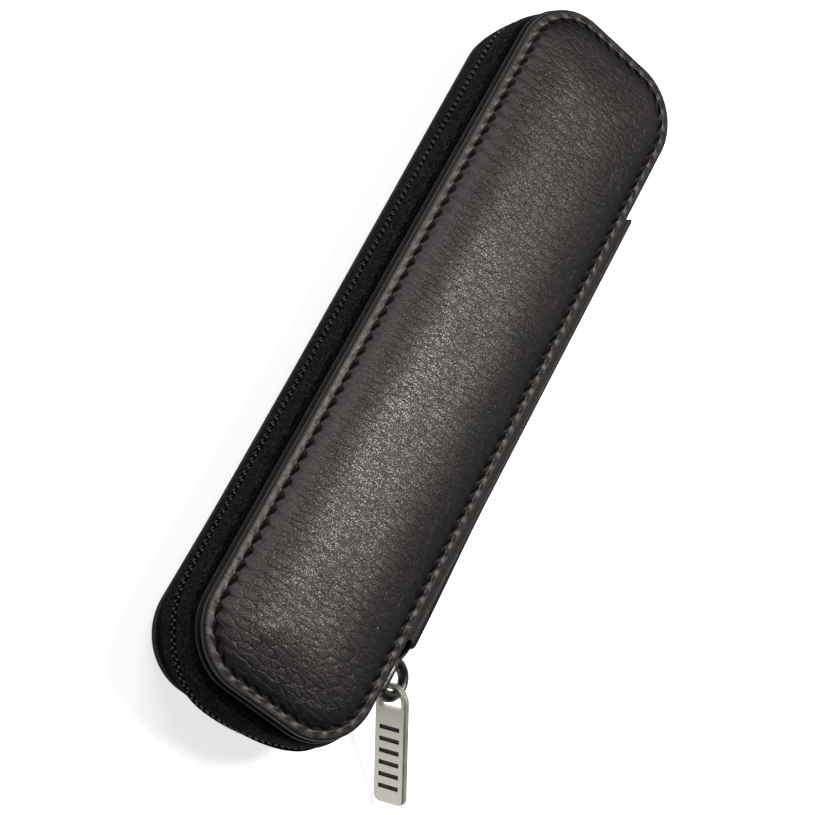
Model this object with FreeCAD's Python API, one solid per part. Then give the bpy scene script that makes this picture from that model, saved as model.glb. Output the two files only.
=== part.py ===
# Zip-around leather case for two fountain pens, one solid or group per piece, in millimetres.
# X runs across the case with the spine at +X, Y runs along it, Z is up, and z = 0 is the resting face.
import math
import os

import FreeCAD
import Part

os.makedirs("parts", exist_ok=True)
Vector = FreeCAD.Vector

# Panel outline and crown
panel_length = 160.0
panel_width = 39.6
panel_corner = 12.5
crown_rise = 2.8
crown_inset = [2.8, 3.9, 5.8, 8.4, 11.4, 14.2]
crown_share = [0.0, 0.19, 0.45, 0.70, 0.88, 1.0]
lining_crown_inset = [4.8, 6.0, 7.8, 10.2, 12.6, 14.2]
smallest_corner = 0.8
close = 1e-4

# Layers of one half, as heights above the middle plane of the zip
rim_top = 10.0
edge_thick = 1.9
edge_round = 0.85
turn_in = 4.6
leather_thick = 1.1
padding_thick = 0.95
layer_gap = 0.05
welt_thick = 1.1
welt_out = 0.35
tape_flange = 0.5
lining_thick = 0.5
lining_inset = 0.75
lining_spine_corner = 14.6
spare = 1.0
middle = rim_top + crown_rise
rim_under = rim_top - edge_thick
welt_under = rim_under - welt_thick
flange_under = welt_under - tape_flange

# Seam thread in its groove
seam_inset = 2.4
thread_wide = 0.7
groove_deep = 0.35

# Zip tape wall: heights and how far it stands outside the panel's outline
wall_height = [7.0, 6.2, 4.8, 3.4, 2.4, 0.5]
wall_out = [0.2, 0.75, 1.45, 1.85, 2.0, 2.0]
wall_thick = 0.55
belly = 2.0
belly_corner_zip_side = 17.6
belly_corner_spine_side = 24.4
coil_low = 0.1
coil_high = 2.1
coil_gap = 0.05
coil_deep = 0.9
coil_inner = belly - wall_thick - coil_gap - coil_deep
tape_end_split = -2.0

# Spine
spine_half_length = 52.0
spine_x = panel_width / 2 + 2.6
spine_thick = 1.0
spine_corner = 0.8
fold_height = 7.05
fold_gap = 0.2
tape_tuck = 2.5
spine_lining_gap = 0.05
spine_lining_thick = 0.6
spine_lining_half_height = 5.8
spine_lining_half_length = 48.8
flap_half_length = 49.0

# Zip stops
stop_start = 52.2
stop_long = 0.9
far_coil_end = 53.4

# Zip slider and its bail
slider_y = -(panel_length / 2 + belly - belly_corner_spine_side)
slider_half_long = 4.2
slider_half_high = 3.2
slider_corner = 1.6
outer_thick = 2.0
inner_thick = 1.0
outer_plate_x = panel_width / 2 + belly + 0.35
inner_plate_x = panel_width / 2 + coil_inner - 0.4 - inner_thick
inner_half_long = 3.6
inner_half_high = 3.2
guide_low = 2.45
guide_x = panel_width / 2 + coil_inner + 0.35
post_start = 1.4
post_long = 1.6
post_half_high = 0.38
coil_start = slider_y - 0.6
bail_y = slider_y + 0.6
bail_outer = 4.6
bail_inner = 3.42
bail_foot = 0.4
bail_leg = 1.35
bail_wide = 1.0
bail_roll = 15.6
nose_half_high = 0.7
nose_root = 1.0
nose_spare = 0.1

# Puller
puller_wide = 7.35
puller_long = 24.3
puller_thick = 1.5
puller_corner = 1.3
puller_bevel = 0.3
puller_angle = 44.1
puller_roll = 25.5
pivot_out = 3.14
pivot_y = slider_y + 0.22
pivot_drop = 1.56
eye_wide = 5.4
eye_long = 3.94
eye_corner = 0.5
band_half = 0.5
grip_grooves = 6
grip_start = 8.0
grip_step = 2.4
grip_wide = 0.9
grip_deep = 0.25
grip_half_long = 2.4

# Elastic pen loops
loop_y = 10.0
loop_wide = 24.0
loop_inner = 6.4
loop_thick = 0.8
loop_leg = 6.6
loop_foot = 1.4
foot_gap = 0.02
stitch_wide = 0.5
stitch_high = 0.25
stitch_end = 1.0


def save(shape, name):
    """Write one piece, or a list of loose pieces, to its own file."""
    if isinstance(shape, list):
        shape = Part.makeCompound(shape)
    shape.exportStep("parts/" + name + ".step")


def outline(grow, height, zip_corner=None, spine_corner_radius=None):
    """The panel's rounded outline, grown by some millimetres, as a wire at a height."""
    left = zip_corner if zip_corner else max(panel_corner + grow, smallest_corner)
    right = spine_corner_radius if spine_corner_radius else max(panel_corner + grow, smallest_corner)
    x = panel_width / 2 + grow
    y = panel_length / 2 + grow
    corners = [(x, y, right, 0), (-x, y, left, 90), (-x, -y, left, 180), (x, -y, right, 270)]
    arcs = []
    for corner_x, corner_y, radius, start in corners:
        centre_x = corner_x - math.copysign(radius, corner_x)
        centre_y = corner_y - math.copysign(radius, corner_y)
        centre = Vector(centre_x, centre_y, height)
        points = []
        for turn in (0, 45, 90):
            angle = math.radians(start + turn)
            points.append(centre + Vector(radius * math.cos(angle), radius * math.sin(angle), 0))
        arcs.append(points)
    edges = []
    for i, points in enumerate(arcs):
        edges.append(Part.Arc(*points).toShape())
        edges.append(Part.makeLine(points[2], arcs[(i + 1) % 4][0]))
    return Part.Wire(edges)


def slab(grow, low, high, zip_corner=None, spine_corner_radius=None):
    """A solid with the rounded outline, between two heights."""
    face = Part.Face(outline(grow, low, zip_corner, spine_corner_radius))
    return face.extrude(Vector(0, 0, high - low))


def ring(inner_grow, outer_grow, low, high):
    """A flat ring that follows the outline."""
    return slab(outer_grow, low, high).cut(slab(inner_grow, low, high))


def box(x0, x1, y0, y1, z0, z1):
    return Part.makeBox(x1 - x0, y1 - y0, z1 - z0, Vector(x0, y0, z0))


def domed(level, base=0.0, insets=crown_inset):
    """Everything between a base and a crowned sheet whose border lies at a level."""
    sections = []
    for inset, share in zip(insets, crown_share):
        sections.append(outline(-inset, level + share * crown_rise))
    crown = Part.makeLoft(sections, True, False)
    return slab(welt_out, base, level).fuse(crown)


def layer(top, thickness, grow, insets=crown_inset):
    """One crowned sheet of even thickness, trimmed to the outline."""
    sheet = domed(top, 0.0, insets).cut(domed(top - thickness, 0.0, insets))
    return sheet.common(slab(grow, 0, top + crown_rise + spare))


def rounded_rim(shape, height, radius):
    """Round the outer edge of a panel at a height."""
    edges = []
    for edge in shape.Edges:
        bounds = edge.BoundBox
        level = abs(bounds.ZMin - height) < close and abs(bounds.ZMax - height) < close
        if level and on_outline(edge.valueAt((edge.FirstParameter + edge.LastParameter) / 2), 0):
            edges.append(edge)
    return shape.makeFillet(radius, edges)


def on_outline(point, grow):
    """Whether a point lies on the outline grown by some millimetres."""
    flat = Part.Vertex(point.x, point.y, 0)
    return outline(grow, 0).distToShape(flat)[0] < 10 * close


def seam(height_low, height_high):
    """The line of the seam as a ring."""
    return ring(-seam_inset - thread_wide / 2, -seam_inset + thread_wide / 2, height_low, height_high)


def leather_panel():
    """Outer leather: thick at the turned edge, thin over the crown, with a groove for the seam."""
    hollow = domed(rim_top - leather_thick).common(slab(-turn_in, 0, rim_top + crown_rise))
    panel = domed(rim_top).common(slab(0, rim_under, rim_top + crown_rise + spare))
    panel = panel.cut(hollow)
    panel = rounded_rim(panel, rim_top, edge_round)
    panel = rounded_rim(panel, rim_under, edge_round)
    return panel.cut(seam(rim_top - groove_deep, rim_top + spare))


def seam_thread():
    return seam(rim_top - groove_deep, rim_top + groove_deep / 2)


def padding():
    return layer(rim_top - leather_thick - layer_gap, padding_thick, -turn_in - layer_gap)


def board():
    top = rim_top - leather_thick - padding_thick - 2 * layer_gap
    return layer(top, top - flange_under, -turn_in - layer_gap)


def lining():
    """Lining: flat under the turned-in edges, crowned inside them, clear of the wall at the corners."""
    sheet = layer(flange_under - layer_gap, lining_thick, 0, lining_crown_inset)
    zip_corner = panel_corner - lining_inset
    return sheet.common(slab(-lining_inset, 0, middle, zip_corner, lining_spine_corner))


def welt():
    return ring(-turn_in, welt_out, welt_under, rim_under)


def wall_corners(out, inward=0.0):
    """Corner radii of the wall on the zip side and the spine side: wider towards the belly."""
    share = out / belly
    zip_side = panel_corner + share * (belly_corner_zip_side - panel_corner)
    spine_side = panel_corner + share * (belly_corner_spine_side - panel_corner)
    return zip_side - inward, spine_side - inward


def tape():
    """Zip tape: a flange sewn under the welt and a wall that bulges out to the coil."""
    skins = []
    for inward in (0.0, wall_thick):
        sections = []
        for height, out in zip(wall_height, wall_out):
            sections.append(outline(out - inward, height, *wall_corners(out, inward)))
        skins.append(Part.makeLoft(sections, True, True))
    top = wall_out[0]
    flange = slab(top, flange_under, welt_under, *wall_corners(top)).cut(slab(-turn_in, 0, rim_top))
    flange = flange.common(skins[0])
    whole = skins[0].cut(skins[1]).fuse(flange).removeSplitter()
    reach = spine_half_length - tape_tuck
    return whole.cut(box(panel_width / 4, panel_width, -reach, reach, 0, rim_top))


def coil():
    """Half of the zip chain, on the inside of the tape."""
    depth = wall_thick + coil_gap
    zip_corner = belly_corner_zip_side - depth
    spine_side = belly_corner_spine_side - depth
    rail = slab(belly - depth, coil_low, coil_high, zip_corner, spine_side)
    hollow = slab(coil_inner, 0, coil_high, zip_corner - coil_deep, spine_side - coil_deep)
    rail = rail.cut(hollow)
    return rail.cut(box(panel_width / 4, panel_width, coil_start, far_coil_end, 0, rim_top))


def stops():
    """A small metal stop at each end of the coil."""
    x0 = panel_width / 2 + coil_inner
    found = []
    for y0 in (-stop_start - stop_long, stop_start):
        found.append(box(x0, x0 + coil_deep, y0, y0 + stop_long, wall_height[-1], coil_high))
    return found


def spine_flap():
    """Turned-in edge of the spine leather, sewn under the panel where the zip tape leaves off."""
    x0 = panel_width / 2 - turn_in
    x1 = spine_x - spine_thick / 2 - fold_gap
    return box(x0, x1, -flap_half_length, flap_half_length, flange_under, welt_under)


def spine_strip():
    """Leather strip with rounded ends; its long edges are round about the two fold lines."""
    half_high = fold_height
    outer = spine_x + spine_thick / 2
    inner = spine_x - spine_thick / 2
    plate = box(inner, outer, -spine_half_length, spine_half_length, -half_high, half_high)
    across = [e for e in plate.Edges if e.BoundBox.XLength > close]
    across = [e for e in across if e.BoundBox.YLength < close]
    plate = plate.makeFillet(spine_corner, across)
    straight = spine_half_length - spine_corner
    for height in (-half_high, half_high):
        start = Vector(spine_x, -straight, height)
        plate = plate.fuse(Part.makeCylinder(spine_thick / 2, 2 * straight, start, Vector(0, 1, 0)))
    return plate.removeSplitter()


def spine_lining():
    x1 = spine_x - spine_thick / 2 - spine_lining_gap
    y = spine_lining_half_length
    z = spine_lining_half_height
    return box(x1 - spine_lining_thick, x1, -y, y, -z, z)


def rounded_plate(x0, x1, y, y_half, z_half):
    """A plate square to X with rounded corners."""
    plate = box(x0, x1, y - y_half, y + y_half, -z_half, z_half)
    across = [e for e in plate.Edges if e.BoundBox.XLength > close]
    return plate.makeFillet(slider_corner, across)


def arch(radius, x0, centre_x):
    """A flat arch of one radius that stands out from the slider."""
    low = -bail_wide / 2
    head = Part.makeCylinder(radius, bail_wide, Vector(centre_x, bail_y, low), Vector(0, 0, 1))
    legs = box(x0, centre_x, bail_y - radius, bail_y + radius, low, low + bail_wide)
    return head.fuse(legs)


def bail():
    """Arch on the slider that the puller hangs from, leaning down by its roll."""
    face = outer_plate_x + outer_thick
    x0 = face - bail_foot
    whole = arch(bail_outer, x0, face + bail_leg).cut(arch(bail_inner, x0, face + bail_leg))
    kept = box(x0, face + panel_width, bail_y - panel_width, bail_y + panel_width, -bail_wide, bail_wide)
    whole = whole.common(kept).removeSplitter()
    whole.rotate(Vector(face, bail_y, 0), Vector(0, 1, 0), bail_roll)
    return whole


def nose():
    """Narrow end of the slider's outer plate, under the bail's upper leg."""
    y0 = slider_y + slider_half_long - nose_root
    y1 = bail_y + bail_outer + nose_spare
    return box(outer_plate_x, outer_plate_x + outer_thick, y0, y1, -nose_half_high, nose_half_high)


def slider():
    """Slider: an outer body with the bail, a post between the tapes and a guide round the coil inside."""
    face = outer_plate_x + outer_thick
    body = rounded_plate(outer_plate_x, face, slider_y, slider_half_long, slider_half_high)
    guide = rounded_plate(inner_plate_x, guide_x, slider_y, inner_half_long, inner_half_high)
    y_reach = 2 * slider_half_long
    channel = inner_plate_x + inner_thick
    guide = guide.cut(box(channel, guide_x, slider_y - y_reach, slider_y + y_reach, -guide_low, guide_low))
    y0 = slider_y + post_start
    post = box(inner_plate_x, face, y0, y0 + post_long, -post_half_high, post_half_high)
    return body.fuse(nose()).fuse(guide).fuse(post).fuse(bail()).removeSplitter()


def puller_plate(centre, end):
    """The puller's plain plate: arched at the top, rounded at the lower corners, bevelled all round."""
    half = puller_wide / 2
    low = -puller_thick / 2
    plate = Part.makeCylinder(half, puller_thick, Vector(centre, 0, low), Vector(0, 0, 1))
    plate = plate.fuse(box(centre, end, -half, half, low, low + puller_thick)).removeSplitter()
    upright = [e for e in plate.Edges if e.BoundBox.ZLength > close]
    plate = plate.makeFillet(puller_corner, [e for e in upright if abs(e.CenterOfMass.x - end) < close])
    rims = [e for e in plate.Edges if e.BoundBox.ZLength < close]
    return plate.makeChamfer(puller_bevel, rims)


def puller_eye(centre, end):
    """The D-shaped eye, as the solid to take away."""
    half = eye_wide / 2
    low = -puller_thick / 2
    eye = Part.makeCylinder(half, puller_thick, Vector(centre, 0, low), Vector(0, 0, 1))
    eye = eye.fuse(box(centre, end, -half, half, low, low + puller_thick))
    eye = eye.common(box(0, end, -half, half, low, low + puller_thick)).removeSplitter()
    upright = [e for e in eye.Edges if e.BoundBox.ZLength > close]
    return eye.makeFillet(eye_corner, [e for e in upright if abs(e.CenterOfMass.x - end) < close])


def puller():
    """Flat puller with an eye and grip grooves, laid along +X with the bail's place at the origin."""
    top = (puller_wide - eye_wide) / 2
    centre = eye_wide / 2 + band_half
    plate = puller_plate(centre, puller_long - top + band_half)
    plate = plate.cut(puller_eye(centre, band_half + eye_long))
    for i in range(grip_grooves):
        x0 = grip_start + i * grip_step
        for z0 in (puller_thick / 2 - grip_deep, -puller_thick / 2):
            corner = Vector(x0, -grip_half_long, z0)
            plate = plate.cut(Part.makeBox(grip_wide, 2 * grip_half_long, grip_deep, corner))
    return plate


def hung(plate):
    """Turn the puller onto the bail: it swings out by its angle and its width leans by its roll."""
    origin = Vector(0, 0, 0)
    plate.rotate(origin, Vector(1, 0, 0), 90)
    plate.rotate(origin, Vector(0, 0, 1), puller_angle - 90)
    plate.rotate(origin, Vector(0, 1, 0), puller_roll)
    plate.translate(Vector(outer_plate_x + outer_thick + pivot_out, pivot_y, -pivot_drop))
    return plate


def pen_loops():
    """Elastic band sewn down at its middle and both ends, so that it makes two loops."""
    floor = flange_under - layer_gap - lining_thick - foot_gap
    outer = loop_inner + loop_thick
    crest = floor + crown_rise - loop_leg
    y0 = loop_y - loop_wide / 2
    along = Vector(0, 1, 0)
    whole = None
    for side in (-1, 1):
        centre = side * outer
        top = Vector(centre, y0, crest)
        skins = []
        for radius in (outer, loop_inner):
            head = Part.makeCylinder(radius, loop_wide, top, along)
            legs = box(centre - radius, centre + radius, y0, y0 + loop_wide, crest, rim_top)
            skins.append(head.fuse(legs))
        loop = skins[0].cut(skins[1])
        whole = loop if whole is None else whole.fuse(loop)
    whole = whole.common(domed(floor, -rim_top, lining_crown_inset))
    for x0 in (-2 * outer - loop_foot, 2 * outer - loop_thick):
        foot = box(x0, x0 + loop_foot + loop_thick, y0, y0 + loop_wide, 0, rim_top)
        whole = whole.fuse(layer(floor, loop_thick, 0, lining_crown_inset).common(foot))
    return whole.removeSplitter()


def loop_threads():
    """A line of thread on each outer foot of the pen loops."""
    level = flange_under - layer_gap - lining_thick - 2 * foot_gap - loop_thick
    sheet = layer(level, stitch_high, 0, lining_crown_inset)
    y0 = loop_y - loop_wide / 2 + stitch_end
    y1 = loop_y + loop_wide / 2 - stitch_end
    found = []
    for side in (-1, 1):
        x = side * (2 * (loop_inner + loop_thick) + loop_foot / 2)
        found.append(sheet.common(box(x - stitch_wide / 2, x + stitch_wide / 2, y0, y1, 0, rim_top)))
    return found


def lifted(shape, back=False):
    """Stand a piece at its height, turned over for the back half."""
    if isinstance(shape, list):
        return [lifted(piece, back) for piece in shape]
    if back:
        shape = shape.mirror(Vector(0, 0, 0), Vector(0, 0, 1))
    shape = shape.copy()
    shape.translate(Vector(0, 0, middle))
    return shape


# Both halves from the same pieces
half_pieces = {
    "leather_panel": leather_panel(),
    "seam_thread": seam_thread(),
    "padding": padding(),
    "stiffener": board(),
    "lining": lining(),
    "welt": welt(),
    "zip_coil": coil(),
    "zip_stops": stops(),
    "spine_turn_in": spine_flap(),
}
for name, piece in half_pieces.items():
    save(lifted(piece), "front_" + name)
    save(lifted(piece, True), "back_" + name)

# The front tape is in two lengths, because the length by the slider flexes when the case opens
whole_tape = tape()
slider_end = box(tape_end_split, panel_width, -panel_length, 0, 0, rim_top)
save(lifted(whole_tape.cut(slider_end)), "front_zip_tape")
save(lifted(whole_tape.common(slider_end)), "front_zip_tape_end")
save(lifted(whole_tape, True), "back_zip_tape")

save(lifted(pen_loops(), True), "pen_loops")
save(lifted(loop_threads(), True), "pen_loop_thread")
save(lifted(spine_strip()), "spine_strip")
save(lifted(spine_lining()), "spine_lining")
save(lifted(slider()), "zip_slider")
save(lifted(hung(puller())), "zip_puller")
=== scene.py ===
"""Zip-around leather case for two fountain pens, dressed in leather, cloth, thread and metal.

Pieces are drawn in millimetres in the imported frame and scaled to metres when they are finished.
X runs across the case with the spine at +X, Y runs along it, Z is up.
"""

import math

import bmesh
import bpy
from mathutils import Matrix, Vector, noise


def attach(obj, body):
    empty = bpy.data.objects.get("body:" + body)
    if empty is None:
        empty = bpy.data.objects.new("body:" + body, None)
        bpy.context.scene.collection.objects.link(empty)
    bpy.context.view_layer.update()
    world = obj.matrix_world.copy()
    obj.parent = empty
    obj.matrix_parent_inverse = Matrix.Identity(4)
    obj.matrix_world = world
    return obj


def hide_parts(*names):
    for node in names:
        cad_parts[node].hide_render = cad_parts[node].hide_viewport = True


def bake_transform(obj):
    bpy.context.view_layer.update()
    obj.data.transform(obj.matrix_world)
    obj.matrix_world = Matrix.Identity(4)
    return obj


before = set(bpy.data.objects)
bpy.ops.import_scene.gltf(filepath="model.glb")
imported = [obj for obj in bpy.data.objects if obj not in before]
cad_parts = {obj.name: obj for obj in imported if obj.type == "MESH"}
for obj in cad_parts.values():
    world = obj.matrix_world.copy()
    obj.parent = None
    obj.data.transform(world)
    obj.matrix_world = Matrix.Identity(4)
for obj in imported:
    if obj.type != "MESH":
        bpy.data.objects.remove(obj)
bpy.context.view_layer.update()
scene = bpy.context.scene

MM = 0.001
FRONT, BACK = 1, -1
HALVES = ((FRONT, "front"), (BACK, "back"))

# Sizes that follow the solids, in millimetres; "level" is a height above the zip's middle plane
HALF_LONG, HALF_WIDE, CORNER = 80.0, 19.8, 12.5
MIDDLE = 12.8
RIM_LEVEL, CROWN_RISE = 10.0, 2.8
CROWN_START, CROWN_SPAN = 2.8, 17.0
LINING_START, LINING_SPAN = 4.8, 15.0
SEAM_INSET = 2.4
BELLY, BELLY_ZIP_CORNER, BELLY_SPINE_CORNER = 2.0, 17.6, 24.4
SPINE_STRAIGHT, SPINE_CORNER, FLAP_END = 51.2, 0.8, 49.15
TAPE_END = 49.5
SLIDER_Y, SLIDER_FACE = -57.6, 24.15
BAIL_Y, BAIL_ROLL = -57.0, math.radians(15.6)
PULLER_PIVOT = (27.29, -57.38, 11.24)
PULLER_ROLL, PULLER_SWING = math.radians(25.5), math.radians(44.1)
LOOP_Y, LOOP_WIDE = 10.0, 24.0
COVER_UNDER, LINING_UNDER, LINING_FACE = 8.1, 6.43, 5.97
SPINE_TOP = 7.5

# Sizes that only the scene has, in millimetres and degrees round the zip's lower corner
CROWN_BOW = 0.55
SETTLE_FAR, SETTLE_NEAR = 2.4, 1.2
SWELL_WIDE, SWELL_FULL_AT, SWELL_FADE = 1.45, 50.0, (95.0, 145.0)
SWELL_PEAK, SWELL_PEAK_AT, SWELL_PEAK_WIDTH = 2.25, 42.0, 20.0
SMALLEST_CORNER = 0.8

# Angles in degrees past which an edge is shown sharp
SOFT_EDGE, COVER_EDGE, METAL_EDGE = 60.0, 50.0, 40.0

# Stitching round each cover: whole stitches on the seam line, so that none is cut short
STITCHES = 119
STEPS = 12
STITCH_PITCH = 3.05
COVER_COUNTS = (266, 62, 58, 62, 532, 62, 58, 62, 266)


# Small helpers


def smooth_step(low, high, value):
    """0 at the low limit, 1 at the high one, with a soft start and end."""
    share = min(max((value - low) / (high - low), 0.0), 1.0)
    return share * share * (3.0 - 2.0 * share)


def bell(value, centre, width):
    return math.exp(-(((value - centre) / width) ** 2))


def straight(start, end):
    return lambda t: (start[0] + (end[0] - start[0]) * t, start[1] + (end[1] - start[1]) * t)


def turn(centre, radius, start):
    def at(t):
        angle = math.radians(start - 90.0 * t)
        return centre[0] + radius * math.cos(angle), centre[1] + radius * math.sin(angle)

    return at


def outline(grow, zip_corner, spine_corner, counts, gap=0.0):
    """The case seen from above, clockwise from the spine side and back to it, as (x, y) points."""
    wide, long = HALF_WIDE + grow, HALF_LONG + grow
    zip_x, zip_y = wide - zip_corner, long - zip_corner
    spine_x, spine_y = wide - spine_corner, long - spine_corner
    legs = (
        straight((wide, -gap), (wide, -spine_y)),
        turn((spine_x, -spine_y), spine_corner, 0.0),
        straight((spine_x, -long), (-zip_x, -long)),
        turn((-zip_x, -zip_y), zip_corner, -90.0),
        straight((-wide, -zip_y), (-wide, zip_y)),
        turn((-zip_x, zip_y), zip_corner, -180.0),
        straight((-zip_x, long), (spine_x, long)),
        turn((spine_x, spine_y), spine_corner, -270.0),
        straight((wide, spine_y), (wide, gap)),
    )
    points = [leg(i / count) for leg, count in zip(legs, counts) for i in range(count)]
    return points + [legs[-1](1.0)]


def inner_corner(inset):
    """Corner radius of the panel's outline, this far in from its edge."""
    return min(max(CORNER - inset, SMALLEST_CORNER), HALF_WIDE - inset)


def panel_outline(inset):
    corner = inner_corner(inset)
    return outline(-inset, corner, corner, COVER_COUNTS)


def wall_corners(out):
    """Corner radii of the zip wall on the zip side and on the spine side."""
    if out < 0.0:
        return CORNER + out, CORNER + out
    share = out / BELLY
    return CORNER + share * (BELLY_ZIP_CORNER - CORNER), CORNER + share * (BELLY_SPINE_CORNER - CORNER)


def crown(inset, start=CROWN_START, span=CROWN_SPAN):
    """How far a crowned sheet has risen at this distance in from the edge, in millimetres."""
    share = min(max((inset - start) / span, 0.0), 1.0)
    return CROWN_RISE * (1.0 - (1.0 - share) ** 3)


def settle(side, y):
    """How far the back rim has settled below its own level, more towards both ends of the case."""
    if side == FRONT:
        return 0.0
    return SETTLE_FAR * smooth_step(-40.0, 95.0, y) + SETTLE_NEAR * smooth_step(-45.0, -85.0, y)


def swell(x, y, share):
    """How far the zip's lower corner stands out past its arc, as a step in x and y."""
    across, along = x + BELLY_SPINE_CORNER - HALF_WIDE - BELLY, SLIDER_Y - y
    if along <= 0.0:
        return Vector((0.0, 0.0))
    turned = math.degrees(math.atan2(along, across))
    amount = SWELL_WIDE * smooth_step(0.0, SWELL_FULL_AT, turned)
    amount += SWELL_PEAK * bell(turned, SWELL_PEAK_AT, SWELL_PEAK_WIDTH)
    amount *= share * (1.0 - smooth_step(*SWELL_FADE, turned)) / math.hypot(across, along)
    return Vector((amount * across, -amount * along))


def lining_floor(x):
    """Height of the back lining's inner face, across the middle of the case."""
    return MIDDLE - LINING_FACE - crown(HALF_WIDE - abs(x), LINING_START, LINING_SPAN)


def sheet_of(rows):
    """A sheet through rows of points, with a UV map that runs along and across it."""
    bm = bmesh.new()
    bm.loops.layers.uv.new("UVMap")
    across, along = len(rows) - 1, len(rows[0]) - 1
    bmesh.ops.create_grid(bm, x_segments=along, y_segments=across, size=0.5, calc_uvs=True)
    bm.verts.ensure_lookup_table()
    for vert, point in zip(bm.verts, (point for row in rows for point in row)):
        vert.co = point
    return bm


def close_up(bm, reach=1e-4):
    """Weld the ends that meet, fill what is still open and turn the faces outwards."""
    bmesh.ops.remove_doubles(bm, verts=bm.verts, dist=reach)
    bmesh.ops.dissolve_degenerate(bm, edges=bm.edges, dist=reach)
    rim = [edge for edge in bm.edges if edge.is_boundary]
    if rim:
        bmesh.ops.holes_fill(bm, edges=rim, sides=0)
    bmesh.ops.recalc_face_normals(bm, faces=bm.faces)
    return bm


def beads(half_size, poles, places):
    """An egg of this half size at each of the places; the poles' turn says which way its mesh runs."""
    bm = bmesh.new()
    bmesh.ops.create_uvsphere(bm, u_segments=8, v_segments=6, radius=1.0, matrix=poles)
    bmesh.ops.scale(bm, vec=half_size, verts=bm.verts)
    first = list(bm.verts) + list(bm.edges) + list(bm.faces)
    for place in places:
        made = bmesh.ops.duplicate(bm, geom=first)["geom"]
        verts = [item for item in made if isinstance(item, bmesh.types.BMVert)]
        bmesh.ops.transform(bm, matrix=place, verts=verts)
    original = [item for item in first if isinstance(item, bmesh.types.BMVert)]
    bmesh.ops.delete(bm, geom=original, context="VERTS")
    bmesh.ops.recalc_face_normals(bm, faces=bm.faces)
    return bm


def placed(origin, x_axis, y_axis, z_axis):
    """A matrix that stands a shape at a point with its axes along these directions."""
    made = Matrix((x_axis, y_axis, z_axis)).transposed().to_4x4()
    made.translation = origin
    return made


def piece(name, bm, material, body, crease=None):
    """Finish a shape: metres, smooth faces, material, place in the frame."""
    bmesh.ops.scale(bm, vec=(MM, MM, MM), verts=bm.verts)
    mesh = bpy.data.meshes.new(name)
    bm.to_mesh(mesh)
    bm.free()
    mesh.materials.append(material)
    mesh.polygons.foreach_set("use_smooth", [True] * len(mesh.polygons))
    if crease is not None:
        mesh.set_sharp_from_angle(angle=math.radians(crease))
    made = bpy.data.objects.new(name, mesh)
    scene.collection.objects.link(made)
    if body:
        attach(made, body)
    return made


# Node helpers and shared groups


def add(tree, kind, inputs=None, **settings):
    made = tree.nodes.new(kind)
    for key, value in settings.items():
        setattr(made, key, value)
    for key, value in (inputs or {}).items():
        if isinstance(value, bpy.types.NodeSocket):
            tree.links.new(value, made.inputs[key])
        else:
            made.inputs[key].default_value = value
    return made


def sums(tree, operation, first, second=0.0, third=0.0):
    made = add(tree, "ShaderNodeMath", {0: first, 1: second, 2: third}, operation=operation)
    return made.outputs[0]


def rest_of(tree, share):
    return sums(tree, "SUBTRACT", 1.0, share)


def mapped(tree, value, low, high, to_low=0.0, to_high=1.0):
    inputs = {"Value": value, "From Min": low, "From Max": high, "To Min": to_low, "To Max": to_high}
    return add(tree, "ShaderNodeMapRange", inputs, interpolation_type="SMOOTHSTEP").outputs[0]


# Sockets of a mix node that hold colours
MIX_FIRST, MIX_SECOND, MIX_RESULT = 6, 7, 2


def blended(tree, factor, first, second):
    inputs = {"Factor": factor, MIX_FIRST: first, MIX_SECOND: second}
    return add(tree, "ShaderNodeMix", inputs, data_type="RGBA").outputs[MIX_RESULT]


def new_group(name, inputs, outputs):
    tree = bpy.data.node_groups.new(name, "ShaderNodeTree")
    for label, kind, value in inputs:
        socket = tree.interface.new_socket(label, in_out="INPUT", socket_type=kind)
        if value is not None:
            socket.default_value = value
    for label in outputs:
        tree.interface.new_socket(label, in_out="OUTPUT", socket_type="NodeSocketFloat")
    return tree, tree.nodes.new("NodeGroupInput"), tree.nodes.new("NodeGroupOutput")


NUMBER, DIRECTION = "NodeSocketFloat", "NodeSocketVector"


# Leather grain; shares are of the pebbles' count, edges are in widths of a cell and rises in bump heights
BEND_SHARE, BEND_REACH = 0.25, 2.2
PEBBLE_TURN, PEBBLE_STRETCH, PEBBLE_EDGE, PEBBLE_RISE = 0.18, 0.7, 0.22, 0.45
PORE_SHARE, PORE_RISE = 1.05, 0.4
# FOLD_DARK is the share of the folds in the lines that the leather paints darker as shade
FOLD_TURN, FOLD_STRETCH, FOLD_SHARE, FOLD_EDGE, FOLD_RISE, FOLD_DARK = 0.3, 0.36, 0.26, 0.09, 0.95, 0.42
VALLEY_EDGE = 0.28


def drawn_cells(tree, place, turned, stretch, count):
    """Distance to the border of cells that are drawn out along one direction."""
    drawing = {"Vector": place, "Rotation": (0.0, 0.0, turned), "Scale": (stretch, 1.0, 1.0)}
    drawn = add(tree, "ShaderNodeMapping", drawing).outputs[0]
    cells = add(tree, "ShaderNodeTexVoronoi", {"Vector": drawn, "Scale": count}, feature="DISTANCE_TO_EDGE")
    return cells.outputs["Distance"]


def cloud(tree, place, scale, detail, output="Fac"):
    inputs = {"Vector": place, "Scale": scale, "Detail": detail}
    return add(tree, "ShaderNodeTexNoise", inputs).outputs[output]


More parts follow.
